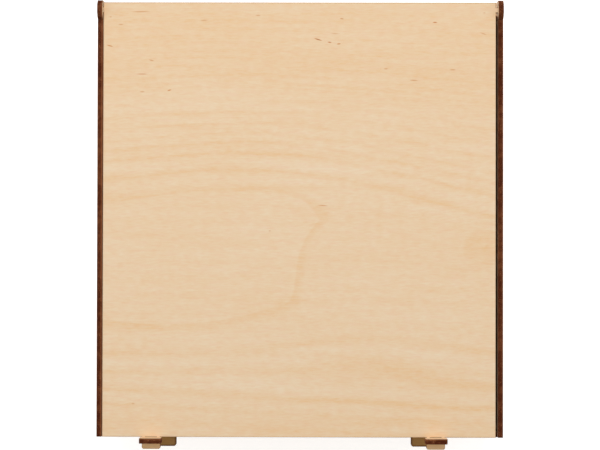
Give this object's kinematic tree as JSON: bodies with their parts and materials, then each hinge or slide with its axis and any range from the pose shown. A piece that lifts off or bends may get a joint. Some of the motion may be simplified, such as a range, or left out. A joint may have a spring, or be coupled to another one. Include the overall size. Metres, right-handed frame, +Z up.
{
  "type": "wooden gift box",
  "caption": "Flat rectangular plywood box with finger-jointed walls and a lid that swings on rounded ears at the back, with lifting tabs and thumb ledges in front.",
  "frame": {"origin": "middle of the base panel's underside, at the middle of the side walls' length and of the box's width", "axes": "+Z up from the table, +Y towards the lid's hinge at the back, +X to the right seen from the front"},
  "size_m": [0.233, 0.2577, 0.088],
  "materials": {
    "birch_ply": "bare sanded birch plywood with burnt cut edges",
    "lid_veneer": "bare sanded birch plywood, fine grain across the box, burnt cut edges",
    "grip_ply": "bare birch plywood, cut edges burnt dark brown",
    "smoked_ply": "birch plywood stained by the smoke of the cut"
  },
  "bodies": {
    "box": {"base_panel": "birch_ply", "front_wall": "birch_ply", "back_wall": "birch_ply", "left_wall": "birch_ply", "right_wall": "birch_ply", "left_ledge": "smoked_ply", "right_ledge": "smoked_ply"},
    "lid": {"lid_panel": "lid_veneer", "left_grip": "grip_ply", "right_grip": "grip_ply"}
  },
  "joints": [
    {"name": "lid_hinge", "type": "hinge", "parent": "box", "child": "lid", "pos_m": [0, 0.1198, 0.0785], "axis": [-1, 0, 0], "range_deg": [0, 110]}
  ]
}
